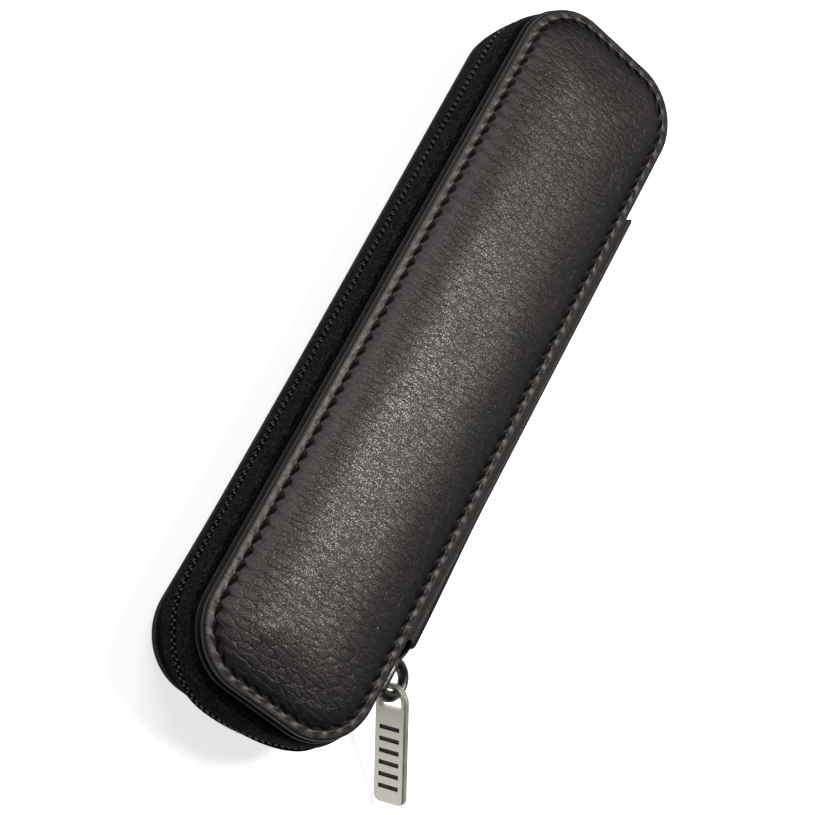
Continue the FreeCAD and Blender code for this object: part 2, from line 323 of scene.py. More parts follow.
def make_grain():
    """Leather grain: pores, pebbles with lines between them, and long folds that can sink into valleys."""
    tree, given, out = new_group(
        "leather_grain",
        [("Vector", DIRECTION, None), ("Pebbles per metre", NUMBER, 2800.0), ("Creases", NUMBER, 0.5)],
        ["Height", "Lines"],
    )
    place, count = given.outputs["Vector"], given.outputs["Pebbles per metre"]
    bend = cloud(tree, place, sums(tree, "MULTIPLY", count, BEND_SHARE), 2.0, "Color")
    drift = add(tree, "ShaderNodeVectorMath", {0: bend, 1: (0.5, 0.5, 0.5)}, operation="SUBTRACT").outputs[0]
    reach = sums(tree, "DIVIDE", BEND_REACH, count)
    drift = add(tree, "ShaderNodeVectorMath", {0: drift, "Scale": reach}, operation="SCALE").outputs[0]
    bent = add(tree, "ShaderNodeVectorMath", {0: place, 1: drift}, operation="ADD").outputs[0]
    pebble = mapped(tree, drawn_cells(tree, bent, PEBBLE_TURN, PEBBLE_STRETCH, count), 0.0, PEBBLE_EDGE)
    pores = cloud(tree, place, sums(tree, "MULTIPLY", count, PORE_SHARE), 2.0)
    folds = drawn_cells(tree, bent, FOLD_TURN, FOLD_STRETCH, sums(tree, "MULTIPLY", count, FOLD_SHARE))
    fold = mapped(tree, folds, 0.0, FOLD_EDGE)
    valley = mapped(tree, folds, 0.0, VALLEY_EDGE)
    height = sums(tree, "MULTIPLY_ADD", pores, PORE_RISE, sums(tree, "MULTIPLY", pebble, PEBBLE_RISE))
    height = sums(tree, "MULTIPLY_ADD", fold, FOLD_RISE, height)
    height = sums(tree, "MULTIPLY_ADD", valley, given.outputs["Creases"], height)
    tree.links.new(height, out.inputs["Height"])
    # The lines between the pebbles and along the folds, which the leather paints darker as shade
    pinched = sums(tree, "MULTIPLY", rest_of(tree, fold), FOLD_DARK)
    lines = sums(tree, "MAXIMUM", rest_of(tree, pebble), pinched)
    tree.links.new(lines, out.inputs["Lines"])
    return tree


def make_weave():
    """Plain weave: threads that pass over and under each other, a little uneven."""
    tree, given, out = new_group(
        "plain_weave",
        [("Along", NUMBER, 0.0), ("Across", NUMBER, 0.0), ("Unevenness", NUMBER, 0.3)],
        ["Height", "Shade"],
    )
    along, across = given.outputs["Along"], given.outputs["Across"]
    both = add(tree, "ShaderNodeCombineXYZ", {0: along, 1: across}).outputs[0]
    wobble = cloud(tree, both, 0.45, 2.0)
    wobble = sums(tree, "MULTIPLY", sums(tree, "SUBTRACT", wobble, 0.5), given.outputs["Unevenness"])
    along, across = sums(tree, "ADD", along, wobble), sums(tree, "ADD", across, wobble)
    warp = sums(tree, "ABSOLUTE", sums(tree, "SINE", sums(tree, "MULTIPLY", along, math.pi)))
    weft = sums(tree, "ABSOLUTE", sums(tree, "SINE", sums(tree, "MULTIPLY", across, math.pi)))
    turns = sums(tree, "ADD", sums(tree, "FLOOR", along), sums(tree, "FLOOR", across))
    over = sums(tree, "ABSOLUTE", sums(tree, "MODULO", turns, 2.0))
    warp_thread = sums(tree, "MULTIPLY", warp, sums(tree, "SQRT", weft))
    weft_thread = sums(tree, "MULTIPLY", weft, sums(tree, "SQRT", warp))
    one = sums(tree, "MULTIPLY", warp_thread, over)
    other = sums(tree, "MULTIPLY", weft_thread, rest_of(tree, over))
    fibre = cloud(tree, both, 1.7, 3.0)
    height = sums(tree, "ADD", one, other)
    height = sums(tree, "ADD", height, sums(tree, "MULTIPLY", fibre, given.outputs["Unevenness"]))
    tree.links.new(height, out.inputs["Height"])
    tree.links.new(mapped(tree, height, 0.1, 0.9), out.inputs["Shade"])
    return tree


def make_dulling():
    """Handling: patches where a finish is a little duller or paler."""
    tree, given, out = new_group(
        "handling",
        [("Vector", DIRECTION, None), ("Patches per metre", NUMBER, 60.0)],
        ["Mask"],
    )
    patches = cloud(tree, given.outputs["Vector"], given.outputs["Patches per metre"], 4.0)
    tree.links.new(mapped(tree, patches, 0.35, 0.7), out.inputs["Mask"])
    return tree


GRAIN, WEAVE, DULLING = make_grain(), make_weave(), make_dulling()


def group_node(tree, group, inputs):
    return add(tree, "ShaderNodeGroup", inputs, node_tree=group).outputs


def new_material(name, roughness=0.5, metallic=0.0, specular=0.5):
    material = bpy.data.materials.new(name)
    material.use_nodes = True
    tree = material.node_tree
    shader = tree.nodes["Principled BSDF"]
    shader.inputs["Roughness"].default_value = roughness
    shader.inputs["Metallic"].default_value = metallic
    shader.inputs["Specular IOR Level"].default_value = specular
    place = tree.nodes.new("ShaderNodeTexCoord")
    return material, tree, shader, place


def bump(tree, shader, height, distance):
    made = add(tree, "ShaderNodeBump", {"Height": height, "Distance": distance, "Strength": 1.0})
    tree.links.new(made.outputs[0], shader.inputs["Normal"])


def linear(value):
    """A screen value of 0 to 255 as the share of light that it stands for."""
    share = value / 255.0
    return share / 12.92 if value <= 10 else ((share + 0.055) / 1.055) ** 2.4


def grey(red, green=None, blue=None):
    """A colour from screen values of 0 to 255; one value alone is a plain grey."""
    green = red if green is None else green
    blue = red if blue is None else blue
    return linear(red), linear(green), linear(blue), 1.0


# Finishes


# Leather: its sheen, then in metres where creases begin and are deepest and the bump depths, and its coat
SHEEN_TINT = (1.0, 0.935, 0.93, 1.0)
CREASES_FROM, CREASES_FULL, CREASES_DEPTH = 0.034, 0.066, 0.85
SHOWN_RELIEF, FAINT_RELIEF = 0.00007, 0.00001
COAT_LEAST, COAT_MOST, COAT_ROUGHNESS = 0.1, 0.55, 0.36


def leather_finish(name, shown_grain, pebbles, smoothest, specular):
    """Black leather with painted shade in its grain lines and stitch holes; a cover's mesh says where it is
    crowned and where its stitch holes are.
    """
    material, tree, shader, place = new_material(name, specular=specular)
    shader.inputs["Specular Tint"].default_value = SHEEN_TINT
    spot = place.outputs["Object"]
    along = sums(tree, "ABSOLUTE", add(tree, "ShaderNodeSeparateXYZ", {0: spot}).outputs["Y"])
    creases = mapped(tree, along, CREASES_FROM, CREASES_FULL, 0.0, CREASES_DEPTH)
    grain = group_node(tree, GRAIN, {"Vector": spot, "Pebbles per metre": pebbles, "Creases": creases})
    worn = group_node(tree, DULLING, {"Vector": spot, "Patches per metre": 55.0})["Mask"]
    height, lines = grain["Height"], grain["Lines"]
    colour = blended(tree, worn, grey(17, 15, 15), grey(23, 20, 20))
    # Painted shade: the grain's lines and folds are painted darker, standing in for the shade in their
    # valleys
    colour = blended(tree, sums(tree, "MULTIPLY", lines, 0.4), colour, grey(7))
    gloss = sums(tree, "ADD", sums(tree, "MULTIPLY", worn, 0.05), smoothest)
    if shown_grain:
        rise = add(tree, "ShaderNodeAttribute", attribute_name="crown").outputs["Fac"]
        hole = add(tree, "ShaderNodeAttribute", attribute_name="hole").outputs["Fac"]
        # Painted shade: the stitch holes are painted near black, darker than their depth alone leaves them
        colour = blended(tree, hole, colour, grey(2))
        shown = mapped(tree, rise, 0.0, 1.0, 0.3, 1.0)
        height = sums(tree, "MULTIPLY", height, shown)
        lines = sums(tree, "MULTIPLY", lines, shown)
        edge_dull = mapped(tree, rise, -1.0, 0.0, 0.2, 0.1)
        dull = sums(tree, "ADD", edge_dull, mapped(tree, rise, 0.0, 0.6, 0.0, -0.1))
        gloss = sums(tree, "ADD", gloss, sums(tree, "MULTIPLY_ADD", hole, 0.5, dull))
        coat = mapped(tree, rise, -0.4, 0.7, COAT_LEAST, COAT_MOST)
        coat = sums(tree, "MULTIPLY", coat, rest_of(tree, lines))
        coat = sums(tree, "MULTIPLY", coat, rest_of(tree, hole))
        tree.links.new(coat, shader.inputs["Coat Weight"])
        shader.inputs["Coat Roughness"].default_value = COAT_ROUGHNESS
    tree.links.new(colour, shader.inputs["Base Color"])
    tree.links.new(sums(tree, "MULTIPLY_ADD", lines, 0.25, gloss), shader.inputs["Roughness"])
    bump(tree, shader, height, SHOWN_RELIEF if shown_grain else FAINT_RELIEF)
    return material


def thread_finish():
    material, tree, shader, place = new_material("black_thread", 0.85, specular=0.1)
    twist = add(
        tree,
        "ShaderNodeTexWave",
        {"Vector": place.outputs["Object"], "Scale": 900.0, "Distortion": 1.5},
        bands_direction="DIAGONAL",
    )
    tree.links.new(blended(tree, twist.outputs["Fac"], grey(4), grey(13)), shader.inputs["Base Color"])
    bump(tree, shader, twist.outputs["Fac"], 0.00006)
    return material


def cloth_finish(name, dark, pale, along, across, depth, unevenness=0.35):
    """Woven cloth on the piece's UV map; along and across are the thread counts over the whole map."""
    material, tree, shader, place = new_material(name, 0.9, specular=0.2)
    split = add(tree, "ShaderNodeSeparateXYZ", {0: place.outputs["UV"]})
    weave = group_node(
        tree,
        WEAVE,
        {
            "Along": sums(tree, "MULTIPLY", split.outputs["X"], along),
            "Across": sums(tree, "MULTIPLY", split.outputs["Y"], across),
            "Unevenness": unevenness,
        },
    )
    fade = group_node(tree, DULLING, {"Vector": place.outputs["Object"], "Patches per metre": 220.0})["Mask"]
    colour = blended(tree, weave["Shade"], dark, pale)
    colour = blended(tree, sums(tree, "MULTIPLY", fade, 0.3), colour, pale)
    tree.links.new(colour, shader.inputs["Base Color"])
    shader.inputs["Sheen Weight"].default_value = 0.15
    bump(tree, shader, weave["Height"], depth)
    return material


# Thread counts over the tape's map, and its row of holes in metres from the zip's middle plane
TAPE_THREADS_ALONG, TAPE_THREADS_ACROSS = 760.0, 70.0
HOLE_ROW_LEVEL, HOLE_ROW_HALF = 0.0059, 0.00028


def tape_finish():
    """Zip tape: a coarse, uneven black cloth with a row of stitch holes by the leather edge, and painted
    shade towards the welt.
    """
    material, tree, shader, place = new_material("black_zip_tape", 0.9, specular=0.05)
    spot = place.outputs["Object"]
    split = add(tree, "ShaderNodeSeparateXYZ", {0: place.outputs["UV"]})
    along = sums(tree, "MULTIPLY", split.outputs["X"], TAPE_THREADS_ALONG)
    across = sums(tree, "MULTIPLY", split.outputs["Y"], TAPE_THREADS_ACROSS)
    weave = group_node(tree, WEAVE, {"Along": along, "Across": across, "Unevenness": 0.8})
    nap = {"Vector": spot, "Scale": 1600.0, "Detail": 4.0, "Roughness": 0.8}
    fluff = mapped(tree, add(tree, "ShaderNodeTexNoise", nap).outputs["Fac"], 0.45, 0.57)
    rise = add(tree, "ShaderNodeSeparateXYZ", {0: spot}).outputs["Z"]
    level = sums(tree, "ABSOLUTE", sums(tree, "SUBTRACT", rise, MIDDLE * MM))
    row = sums(tree, "COMPARE", level, HOLE_ROW_LEVEL, HOLE_ROW_HALF)
    dots = cloud(tree, spot, 900.0, 1.0)
    hole = sums(tree, "MULTIPLY", row, mapped(tree, dots, 0.46, 0.56))
    shade = sums(tree, "MULTIPLY_ADD", fluff, 0.75, sums(tree, "MULTIPLY", weave["Shade"], 0.25))
    # Painted shade: the tape is painted darker towards the welt, standing in for the shadow under the
    # leather's edge
    shade = sums(tree, "MULTIPLY", shade, mapped(tree, level, 0.0052, 0.0066, 1.0, 0.25))
    colour = blended(tree, shade, grey(3), grey(72, 70, 69))
    tree.links.new(blended(tree, hole, colour, grey(3)), shader.inputs["Base Color"])
    height = sums(tree, "ADD", weave["Height"], sums(tree, "MULTIPLY", fluff, 1.2))
    bump(tree, shader, sums(tree, "SUBTRACT", height, hole), 0.00025)
    return material


def nylon_finish():
    material, tree, shader, place = new_material("black_nylon", 0.34)
    worn = group_node(tree, DULLING, {"Vector": place.outputs["Object"], "Patches per metre": 900.0})["Mask"]
    tree.links.new(blended(tree, worn, grey(9), grey(22)), shader.inputs["Base Color"])
    tree.links.new(mapped(tree, worn, 0.0, 1.0, 0.36, 0.5), shader.inputs["Roughness"])
    return material


def metal_finish(name, dark, pale, low, high, grains, depth=0.00001):
    """Metal with a fine grain, so many grains per metre; low and high are the limits of its roughness."""
    material, tree, shader, place = new_material(name, low, 1.0)
    stretch = add(tree, "ShaderNodeMapping", {"Vector": place.outputs["Object"], "Scale": (grains,) * 3})
    lines = cloud(tree, stretch.outputs[0], 1.0, 4.0)
    worn = group_node(tree, DULLING, {"Vector": place.outputs["Object"], "Patches per metre": 300.0})["Mask"]
    both = sums(tree, "ADD", sums(tree, "MULTIPLY", lines, 0.5), sums(tree, "MULTIPLY", worn, 0.5))
    tree.links.new(blended(tree, both, dark, pale), shader.inputs["Base Color"])
    tree.links.new(mapped(tree, both, 0.0, 1.0, low, high), shader.inputs["Roughness"])
    bump(tree, shader, lines, depth)
    return material, tree, shader, place


# Limits of the grip grooves in the puller's own frame, in metres
GROOVE_FLOOR, GROOVE_HALF, GROOVES_FROM = 0.0006, 0.00245, 0.0075


def puller_finish():
    """Satin nickel, with dark enamel in the grip grooves, which are found in the puller's own frame."""
    dark, pale = grey(214, 212, 204), grey(238, 236, 229)
    material, tree, shader, place = metal_finish("satin_nickel", dark, pale, 0.42, 0.54, 500.0)
    own = puller_frame().inverted()
    turned = own.to_euler("XYZ")
    moved = own.translation * MM
    local = add(
        tree,
        "ShaderNodeMapping",
        {"Vector": place.outputs["Object"], "Rotation": tuple(turned), "Location": tuple(moved)},
    )
    along, across, thick = add(tree, "ShaderNodeSeparateXYZ", {0: local.outputs[0]}).outputs
    sunk = sums(tree, "LESS_THAN", sums(tree, "ABSOLUTE", thick), GROOVE_FLOOR)
    amid = sums(tree, "LESS_THAN", sums(tree, "ABSOLUTE", across), GROOVE_HALF)
    inside = sums(tree, "MULTIPLY", sunk, amid)
    inside = sums(tree, "MULTIPLY", inside, sums(tree, "GREATER_THAN", along, GROOVES_FROM))
    metal = shader.inputs["Base Color"].links[0].from_socket
    tree.links.new(blended(tree, inside, metal, grey(18)), shader.inputs["Base Color"])
    tree.links.new(rest_of(tree, inside), shader.inputs["Metallic"])
    return material


def board_finish():
    material, tree, shader, place = new_material("grey_board", 0.85)
    pulp = cloud(tree, place.outputs["Object"], 700.0, 5.0)
    tree.links.new(blended(tree, pulp, grey(104, 96, 84), grey(140, 130, 114)), shader.inputs["Base Color"])
    bump(tree, shader, pulp, 0.00005)
    return material


def puller_frame():
    """Where the puller hangs, in millimetres: its length runs along the frame's X, its width along Y."""
    roll = Matrix.Rotation(PULLER_ROLL, 4, "Y")
    swing = Matrix.Rotation(PULLER_SWING - math.pi / 2, 4, "Z")
    return Matrix.Translation(PULLER_PIVOT) @ roll @ swing @ Matrix.Rotation(math.pi / 2, 4, "X")


LEATHER = leather_finish("black_leather", True, 2600.0, 0.3, 0.38)
EDGE_LEATHER = leather_finish("black_edge_leather", False, 3200.0, 0.44, 0.35)
THREAD = thread_finish()
TAPE = tape_finish()
LINING = cloth_finish("black_lining", grey(16), grey(38, 37, 38), 900.0, 120.0, 0.00008)
ELASTIC = cloth_finish("black_elastic", grey(14), grey(34, 33, 34), 90.0, 60.0, 0.0002, 0.15)
NYLON = nylon_finish()
GUNMETAL = metal_finish("gunmetal", grey(62), grey(124), 0.22, 0.42, 900.0, 0.00012)[0]
NICKEL = puller_finish()
STEEL = metal_finish("dark_steel", grey(60), grey(92), 0.3, 0.45, 400.0)[0]
BOARD = board_finish()


# Camera, floor and light


def take_picture_from():
    """The photograph's place: the axes and the lens come from fitting the case's edges."""
    right = Vector((0.7181945208, 0.4391038056, 0.5398004059))
    down = Vector((0.5796876033, -0.8066727613, -0.1150710159))
    ahead = Vector((0.3849141630, 0.3955589767, -0.8338909900))
    camera = bpy.data.objects.new("camera", bpy.data.cameras.new("camera"))
    camera.data.sensor_width = 36.0
    camera.data.lens = 107.63
    camera.data.clip_start = 0.01
    camera.matrix_world = placed(Vector((-0.181963, -0.198300, 0.409503)), right, -down, -ahead)
    scene.collection.objects.link(camera)
    scene.camera = camera


# What the camera sees of the floor and the world, what the world lends as light, and the mirrored shares
WHITE, FLOOR_COLOUR = (1.0, 1.0, 1.0, 1.0), (0.88, 0.88, 0.88, 1.0)
BACKDROP, WORLD_LIGHT = 0.75, 0.05
FLOOR_MIRRORED, WORLD_MIRRORED = 0.25, 0.02


def seen_share(tree, mirrored_share):
    """1 for what the camera sees by itself, and a share of that for what it sees in metal or glass."""
    path = tree.nodes.new("ShaderNodeLightPath").outputs
    mirrored = sums(tree, "MAXIMUM", path["Is Glossy Ray"], path["Is Transmission Ray"])
    return sums(tree, "MAXIMUM", path["Is Camera Ray"], sums(tree, "MULTIPLY", mirrored, mirrored_share))


def lay_floor():
    """A white floor that the camera and shiny pieces see as white, and that keeps the shadow."""
    bm = bmesh.new()
    bmesh.ops.create_grid(bm, x_segments=8, y_segments=8, size=4.0)
    mesh = bpy.data.meshes.new("floor")
    bm.to_mesh(mesh)
    bm.free()
    floor = bpy.data.objects.new("floor", mesh)
    scene.collection.objects.link(floor)
    material, tree, shader, _ = new_material("white_floor", 0.9, specular=0.1)
    shader.inputs["Base Color"].default_value = FLOOR_COLOUR
    seen = seen_share(tree, FLOOR_MIRRORED)
    glow = add(tree, "ShaderNodeEmission", {"Color": WHITE, "Strength": BACKDROP})
    nothing = add(tree, "ShaderNodeEmission", {"Strength": 0.0})
    lit = add(tree, "ShaderNodeMixShader", {0: seen, 1: nothing.outputs[0], 2: glow.outputs[0]})
    both = add(tree, "ShaderNodeAddShader", {0: shader.outputs[0], 1: lit.outputs[0]})
    tree.links.new(both.outputs[0], tree.nodes["Material Output"].inputs["Surface"])
    mesh.materials.append(material)


def soft_box(name, towards, distance, size, power, colour):
    """A square soft light that stands off in a direction and faces the case."""
    lamp = bpy.data.lights.new(name, "AREA")
    lamp.shape, lamp.size, lamp.energy, lamp.color = "SQUARE", size, power, colour
    made = bpy.data.objects.new(name, lamp)
    centre = Vector((0.0, 0.0, 0.02))
    made.location = centre + Vector(towards).normalized() * distance
    made.rotation_euler = (centre - made.location).to_track_quat("-Z", "Y").to_euler()
    scene.collection.objects.link(made)


def light_studio():
    soft_box("key_light", (0.187, 0.228, 0.628), 0.7, 0.22, 3.9, (1.0, 0.975, 0.915))
    soft_box("left_light", (-0.42, 0.35, 0.82), 1.0, 0.5, 3.0, (1.0, 0.945, 0.925))
    world = bpy.data.worlds.new("studio")
    scene.world = world
    world.use_nodes = True
    tree = world.node_tree
    background = tree.nodes["Background"]
    background.inputs["Color"].default_value = WHITE
    seen = seen_share(tree, WORLD_MIRRORED)
    strength = sums(tree, "MULTIPLY_ADD", seen, BACKDROP - WORLD_LIGHT, WORLD_LIGHT)
    tree.links.new(strength, background.inputs["Strength"])
    scene.view_settings.view_transform = "Standard"


# Leather covers


# The cover's section from the middle of its underside round the edge to its crown, as insets and levels
COVER_UNDERSIDE = (19.8, 17.0, 14.2, 11.4, 8.4, 5.8, 4.65)
COVER_TURN = (
    (4.6, 8.12), (2.5, 8.12), (1.0, 8.12), (0.55, 8.16), (0.26, 8.32), (0.08, 8.62), (0.0, 9.05),
)
COVER_RIM = (
    (0.03, 9.5), (0.12, 9.77), (0.27, 9.92), (0.5, 9.98), (0.85, 10.02), (1.2, 10.05), (1.5, 10.08),
    (1.74, 10.1), (1.9, 10.07), (2.0, 10.0), (2.1, 9.93), (2.2, 9.87), (2.3, 9.83), (2.4, 9.81), (2.5, 9.83),
    (2.6, 9.87), (2.72, 9.94), (2.88, 10.03), (3.1, 10.13), (3.35, 10.26),
)
COVER_CROWN = (3.7, 4.2, 4.8, 5.5, 6.3, 7.2, 8.2, 9.3, 10.5, 11.8, 13.2, 14.6, 16.0, 17.4, 18.6, 19.3, 19.8)

# The stitch holes, and how far the leather puffs, pulls and wavers
HOLE_REACH, HOLE_SLANT, HOLE_DEPTH = 0.85, 0.32, 0.55
PUFF, PUFF_VARIES, PULL = 0.13, 0.06, 0.05
RIM_WAVER, CROWN_WAVER, SKIN_WAVER = 0.04, 0.13, 0.03


def slot_depth(inset, phase):
    """How deep in the stitch line this point is, from 0 to 1: slanted holes joined by a fine sunken line."""
    along = (phase - 0.5) * STITCH_PITCH
    past = max(abs(along) - HOLE_REACH, 0.0) / (STITCH_PITCH / 2 - HOLE_REACH)
    off_line = HOLE_SLANT * (max(-HOLE_REACH, min(HOLE_REACH, along)) / HOLE_REACH) * (1.0 - past)
    hole = 1.0 - smooth_step(0.0, 0.3, past)
    width = 0.09 + 0.07 * hole
    return (0.55 + 0.45 * hole) * bell(inset - SEAM_INSET, off_line, width)


def leather_level(inset, level, phase, x, y):
    """Height of the leather: holes, puffs between the stitches, pulled lines and an uneven crown."""
    wave = math.cos(2.0 * math.pi * phase)
    level -= HOLE_DEPTH * slot_depth(inset, phase)
    puff = PUFF + PUFF_VARIES * noise.noise(Vector((x / 3.0, y / 3.0, 8.1)))
    level += puff * wave * bell(inset, 1.85, 0.42) + PULL * wave * bell(inset, 3.15, 0.45)
    level += RIM_WAVER * noise.noise(Vector((x / 1.3, y / 1.3, 6.4))) * bell(inset, 1.3, 0.7)
    if inset > SEAM_INSET:
        pull = math.exp(-(inset - SEAM_INSET) / 2.2) * smooth_step(2.7, 3.6, inset)
        level += PULL * wave * pull
    risen = smooth_step(3.0, 9.0, inset)
    level -= CROWN_BOW * risen * (y / HALF_LONG) ** 2
    level += CROWN_WAVER * risen * noise.noise(Vector((x / 13.0, y / 17.0, 1.7)))
    level += SKIN_WAVER * noise.noise(Vector((x / 3.5, y / 3.5, 4.2)))
    return level


def leather_cover(side, name):
    """One padded panel, with its crown and its stitch holes marked on the mesh for the material, which paints
    shade into the holes.
    """
    rows, crowns, holes = [], [], []
    heights = [(inset, COVER_UNDER + crown(inset)) for inset in COVER_UNDERSIDE] + list(COVER_TURN)
    hidden = len(heights)
    heights += list(COVER_RIM) + [(inset, RIM_LEVEL + crown(inset)) for inset in COVER_CROWN]
    for row, (inset, base) in enumerate(heights):
        points = []
        for column, (x, y) in enumerate(panel_outline(inset)):
            phase = (column % STEPS) / STEPS
            shown = row >= hidden
            level = leather_level(inset, base, phase, x, side * y) if shown else base
            level += settle(side, y) * (1.0 - smooth_step(2.6, 9.0, inset))
            points.append(Vector((x, y, MIDDLE + side * level)))
            risen = smooth_step(2.6, 8.0, inset) + smooth_step(0.2, 0.7, inset) - 1.0
            crowns.append(risen if shown else -1.0)
            holes.append(slot_depth(inset, phase) if shown else 0.0)
        rows.append(points)
    bm = sheet_of(rows)
    rise, hole = bm.verts.layers.float.new("crown"), bm.verts.layers.float.new("hole")
    for vert, one, other in zip(bm.verts, crowns, holes):
        vert[rise], vert[hole] = one, other
    close_up(bm)
    cover = piece(f"{name}_leather_cover", bm, LEATHER, f"{name}_half", COVER_EDGE)
    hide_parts(f"{name}_leather_panel", f"{name}_padding")


def seam_places(side, level, lean):
    """A place for each stitch, in its slot, with X along the seam and Z out of the leather."""
    points = panel_outline(SEAM_INSET)
    up = Vector((0.0, 0.0, side))
    for stitch in range(STITCHES):
        middle = stitch * STEPS + STEPS // 2
        x, y = points[middle]
        ahead = Vector(points[middle + 1]) - Vector(points[middle - 1])
        along = Vector((ahead.x, ahead.y, 0.0)).normalized()
        along.rotate(Matrix.Rotation(lean, 3, "Z"))
        yield placed(Vector((x, y, MIDDLE + side * (level + settle(side, y)))), along, up.cross(along), up)


STITCH_HALF_SIZE, STITCH_LEVEL, STITCH_LEAN = (0.85, 0.16, 0.17), 9.5, math.radians(-23.0)


def seam_stitches(side, name):
    places = seam_places(side, STITCH_LEVEL, STITCH_LEAN)
    bm = beads(STITCH_HALF_SIZE, Matrix.Rotation(math.pi / 2, 4, "Y"), places)
    stitches = piece(f"{name}_seam_stitches", bm, THREAD, f"{name}_half")
    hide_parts(f"{name}_seam_thread")


WELT_EDGE = (
    (-4.6, 8.05), (-0.3, 8.06), (0.02, 8.02), (0.2, 7.9), (0.31, 7.72), (0.35, 7.5), (0.31, 7.3), (0.2, 7.13),
    (0.0, 7.06), (-4.6, 7.05),
)
WELT_COUNTS = (90, 40, 24, 40, 180, 40, 24, 40, 90)


def welt(side, name):
    """Narrow leather strip between the cover and the zip tape."""
    rows = []
    for out, level in WELT_EDGE + WELT_EDGE[:1]:
        row = []
        for x, y in outline(out, CORNER + out, CORNER + out, WELT_COUNTS):
            waver = 0.05 * noise.noise(Vector((x / 5.0, y / 5.0, 2.0 + side))) if out > 0.1 else 0.0
            here = level + waver + settle(side, y)
            row.append(Vector((x * (1.0 + waver / HALF_WIDE), y + waver, MIDDLE + side * here)))
        rows.append(row)
    bm = close_up(sheet_of(rows))
    strip = piece(f"{name}_welt_strip", bm, EDGE_LEATHER, f"{name}_half", SOFT_EDGE)
    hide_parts(f"{name}_welt")


# Zip


# The tape's section from its sewn edge to the coil and back, as steps out from the panel's edge and levels
TAPE_OUTSIDE = (
    (-4.6, 6.98), (-2.0, 6.98), (0.0, 6.97), (0.22, 6.9), (0.5, 6.55), (0.78, 6.15), (1.12, 5.5), (1.45, 4.8),
    (1.68, 4.1), (1.85, 3.4), (1.95, 2.8), (2.0, 2.3), (2.02, 1.6), (2.02, 1.3), (1.98, 1.12), (1.86, 1.0),
    (1.7, 0.95),
)
TAPE_INSIDE = (
    (1.55, 0.98), (1.47, 1.15), (1.47, 1.6), (1.46, 2.3), (1.38, 3.3), (1.0, 4.7), (0.5, 5.8), (0.12, 6.4),
    (-0.3, 6.52), (-2.0, 6.52), (-4.6, 6.52),
)
TAPE_COUNTS = (14, 34, 16, 30, 118, 30, 16, 34, 14)
TAPE_SLACK = 0.12


def tape_slack(x, y, level, side):
    """How far the tape is out of true at a point of its free width."""
    if not 0.4 < level < 6.6:
        return 0.0
    return TAPE_SLACK * noise.noise(Vector((x / 7.0, y / 7.0, level / 3.0 + side)))


def zip_tape(side, name):
    """Half of the zip's cloth, bellied out, with its lower corner swollen past the slider's arc."""
    rows = []
    loop = TAPE_OUTSIDE + TAPE_INSIDE + TAPE_OUTSIDE[:1]
    for out, level in loop:
        zip_corner, spine_corner = wall_corners(out)
        share = min(max(out / BELLY, 0.0), 1.0) if side == FRONT else 1.0 - smooth_step(0.8, 5.0, level)
        row = []
        for x, y in outline(out, zip_corner, spine_corner, TAPE_COUNTS, TAPE_END):
            away = Vector((x, y * 0.3)).normalized() * tape_slack(x, y, level, side) + swell(x, y, share)
            here = level + settle(side, y) * smooth_step(0.6, 6.4, level)
            row.append(Vector((x + away.x, y + away.y, MIDDLE + side * here)))
        rows.append(row)
    tape = piece(f"{name}_tape", close_up(sheet_of(rows)), TAPE, f"{name}_half", SOFT_EDGE)
    replaced = [f"{name}_zip_tape"] + (["front_zip_tape_end"] if side == FRONT else [])
    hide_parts(*replaced)


COIL_PITCH, COIL_START, COIL_END = 1.42, -58.2, 53.4
COIL_OUT, COIL_LEVEL, COIL_DROP = 1.74, 0.5, 0.16
COIL_TURN_HALF_SIZE, COIL_LEAN = (0.3, 0.36, 0.66), math.radians(16.0)
COIL_COUNTS = (1, 40, 20, 40, 60, 40, 20, 40, 12)


def coil_line(out):
    """Points and directions a pitch apart along the coil, from the slider's end to the far stop."""
    zip_corner, spine_corner = BELLY_ZIP_CORNER + out - BELLY, BELLY_SPINE_CORNER + out - BELLY
    line = [Vector(p) for p in outline(out, zip_corner, spine_corner, COIL_COUNTS, COIL_END)]
    line[0].y = COIL_START
    line = [p + swell(p.x, p.y, 1.0) for p in line]
    line = [p for i, p in enumerate(line) if i == 0 or (p - line[i - 1]).length > 1e-6]
    needed, places = 0.3, []
    for start, end in zip(line, line[1:]):
        step = end - start
        while needed <= step.length:
            places.append((start + step * (needed / step.length), step.normalized()))
            needed += COIL_PITCH
        needed -= step.length
    return places


def zip_coil(side, name):
    """Nylon coil along the tape's edge: a slanted turn every pitch, each half set off by half a turn."""
    places = []
    for point, along in coil_line(COIL_OUT):
        shift = along * (0.25 * side * COIL_PITCH)
        away = Vector((along.y, -along.x, 0.0))
        along3 = Vector((along.x, along.y, 0.0))
        lean = Matrix.Rotation(side * COIL_LEAN, 4, "Y")
        origin = Vector((point.x + shift.x, point.y + shift.y, MIDDLE - COIL_DROP + side * COIL_LEVEL))
        places.append(placed(origin, along3, away, along3.cross(away)) @ lean)
    bm = beads(COIL_TURN_HALF_SIZE, Matrix.Identity(4), places)
    coil = piece(f"{name}_coil", bm, NYLON, f"{name}_half")
    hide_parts(f"{name}_zip_coil")


# The angle in radians past which a plate's edge is sharp, and how close counts as the same place
SHARP, CLOSE, NEAR = 1.2, 1e-6, 1e-3


def is_rim(edge, low, high):
    """True for a sharp edge round one of a plate's two faces."""
    if not edge.is_manifold or edge.calc_face_angle() <= SHARP:
        return False
    on_face = any(abs(vert.co.x - x) < CLOSE for vert in edge.verts for x in (low[0], high[0]))
    return on_face and all(low[1] - NEAR <= vert.co.y <= high[1] + NEAR for vert in edge.verts)


